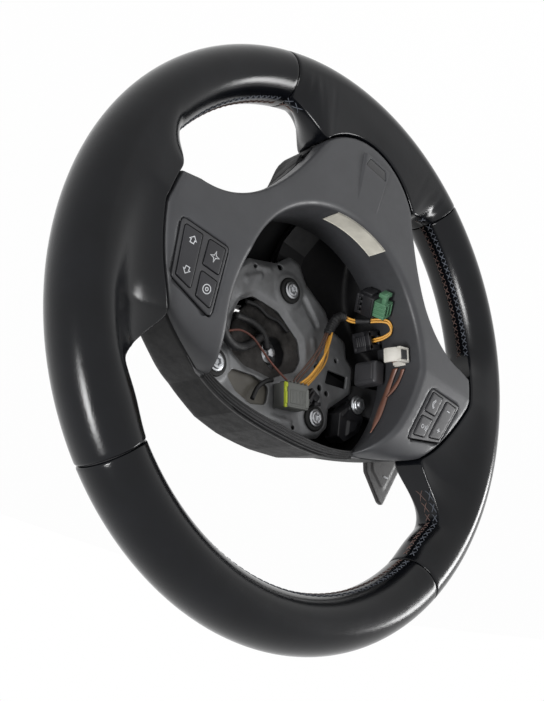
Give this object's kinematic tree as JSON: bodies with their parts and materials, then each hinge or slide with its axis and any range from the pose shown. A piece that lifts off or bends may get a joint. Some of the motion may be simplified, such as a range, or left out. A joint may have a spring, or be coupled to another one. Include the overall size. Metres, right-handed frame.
{
  "type": "car steering wheel",
  "caption": "Three-spoke leather car steering wheel with the airbag out: open hub with its carrier plate and plugs, spoke switches and shift paddles.",
  "frame": {"origin": "middle of the steering shaft bore, on the steering axis", "axes": "+Y along the steering axis away from the driver, +Z towards twelve o'clock, +X towards the driver's right"},
  "size_m": [0.37, 0.1048, 0.37],
  "materials": {
    "cast_alloy": "satin",
    "bush_steel": "satin",
    "rim_foam": "matte",
    "leather": "semi-gloss",
    "trim_grey": "satin",
    "cover_black": "matte",
    "badge_black": "gloss",
    "screw_steel": "satin",
    "screw_bright": "satin",
    "switch_frame": "satin",
    "key_grey": "satin",
    "bracket_black": "matte",
    "paddle_grey": "satin",
    "plate_grey": "satin",
    "rubber_black": "matte",
    "felt_dark": "matte",
    "plug_grey": "matte",
    "plug_lime": "matte",
    "holder_black": "matte",
    "plug_green": "matte",
    "clip_white": "matte",
    "ribbon_copper": "gloss",
    "wire_red": "gloss",
    "wire_yellow": "gloss",
    "wrap_black": "matte"
  },
  "bodies": {
    "wheel": {"armature": "cast_alloy", "bore_bush": "bush_steel", "rim_core": "bush_steel", "rim_foam": "rim_foam", "leather_top": "leather", "leather_right": "leather", "leather_bottom": "leather", "leather_left": "leather", "front_trim": "trim_grey", "rear_cover": "cover_black", "badge_insert": "badge_black", "trim_screws": "screw_steel", "cover_screws": "screw_steel", "box_nut": "screw_steel", "paddle_pin_right": "screw_steel", "paddle_pin_left": "screw_steel", "carrier_screws": "screw_bright", "switch_frame_right": "switch_frame", "switch_frame_left": "switch_frame", "paddle_bracket_right": "bracket_black", "paddle_bracket_left": "bracket_black", "carrier_plate": "plate_grey", "rubber_bushes": "rubber_black", "foam_pad": "felt_dark", "plug_housing": "plug_grey", "plug_lock": "plug_lime", "cable_holder": "holder_black", "loop_plug": "holder_black", "control_box": "holder_black", "green_connector": "plug_green", "flat_cable_clip": "clip_white", "flat_ribbon": "ribbon_copper", "red_wire": "wire_red", "yellow_wires": "wire_yellow", "wire_wrap": "wrap_black", "harness_tube": "wrap_black"},
    "star_key": {"star_key": "key_grey"},
    "round_key": {"round_key": "key_grey"},
    "phone_key": {"phone_key": "key_grey"},
    "speech_key": {"speech_key": "key_grey"},
    "rocker_right": {"rocker_right": "key_grey"},
    "rocker_left": {"rocker_left": "key_grey"},
    "paddle_right": {"paddle_right": "paddle_grey"},
    "paddle_left": {"paddle_left": "paddle_grey"}
  },
  "joints": [
    {"name": "star_key_press", "type": "slide", "parent": "wheel", "child": "star_key", "axis": [0, 0.9724, -0.2334], "range_m": [0, 0.0012], "stiffness_N_per_m": 800},
    {"name": "round_key_press", "type": "slide", "parent": "wheel", "child": "round_key", "axis": [0, 0.9724, -0.2334], "range_m": [0, 0.0012], "stiffness_N_per_m": 800},
    {"name": "phone_key_press", "type": "slide", "parent": "wheel", "child": "phone_key", "axis": [0, 0.9724, -0.2334], "range_m": [0, 0.0012], "stiffness_N_per_m": 800},
    {"name": "speech_key_press", "type": "slide", "parent": "wheel", "child": "speech_key", "axis": [0, 0.9724, -0.2334], "range_m": [0, 0.0012], "stiffness_N_per_m": 800},
    {"name": "rocker_right_tilt", "type": "hinge", "parent": "wheel", "child": "rocker_right", "pos_m": [0.108, -0.07694, 0.00909], "axis": [1, 0, 0], "range_deg": [-4, 4], "stiffness_Nm_per_rad": 0.2},
    {"name": "rocker_left_tilt", "type": "hinge", "parent": "wheel", "child": "rocker_left", "pos_m": [-0.108, -0.07694, 0.00909], "axis": [1, 0, 0], "range_deg": [-4, 4], "stiffness_Nm_per_rad": 0.2},
    {"name": "paddle_right_pull", "type": "hinge", "parent": "wheel", "child": "paddle_right", "pos_m": [0.112, -0.015, 0.004], "axis": [0, 0, 1], "range_deg": [-4, 0], "stiffness_Nm_per_rad": 1},
    {"name": "paddle_left_pull", "type": "hinge", "parent": "wheel", "child": "paddle_left", "pos_m": [-0.112, -0.015, 0.004], "axis": [0, 0, 1], "range_deg": [0, 4], "stiffness_Nm_per_rad": 1}
  ]
}
